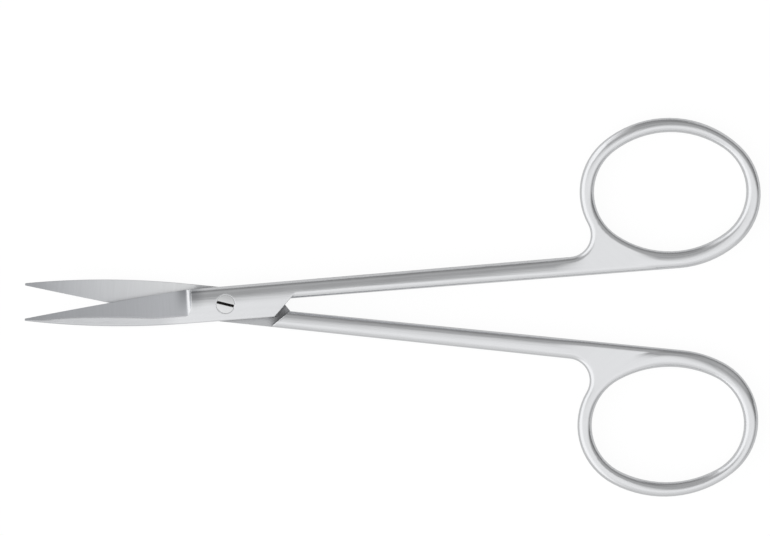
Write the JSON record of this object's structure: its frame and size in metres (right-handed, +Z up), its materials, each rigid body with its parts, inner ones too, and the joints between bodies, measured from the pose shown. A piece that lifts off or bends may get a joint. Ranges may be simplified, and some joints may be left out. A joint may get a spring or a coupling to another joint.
{
  "type": "dissecting scissors",
  "caption": "Fine curved dissecting scissors lying slightly open, with slim shanks, oval finger rings, a lapped screw joint and short ground blades that curve upwards.",
  "frame": {"origin": "middle of the outline as it lies open, on the surface that it lies on", "axes": "+X from the blade tips towards the finger rings, +Y towards the ring of the half that holds the screw's head, +Z up and along the screw's axis towards its head"},
  "size_m": [0.1134, 0.0584, 0.0084],
  "materials": {
    "front_steel": "satin, ground matt on the blade's outer face",
    "rear_steel": "satin, ground matt on the blade's outer face",
    "screw_steel": "polished"
  },
  "bodies": {
    "rear": {"rear_half": "rear_steel", "joint_screw": "screw_steel"},
    "front": {"front_half": "front_steel"}
  },
  "joints": [
    {"name": "screw_pivot", "type": "hinge", "parent": "rear", "child": "front", "pos_m": [-0.02577, -0.00024, 0.002], "axis": [0, 0, 1], "range_deg": [-9.45, 125]}
  ]
}
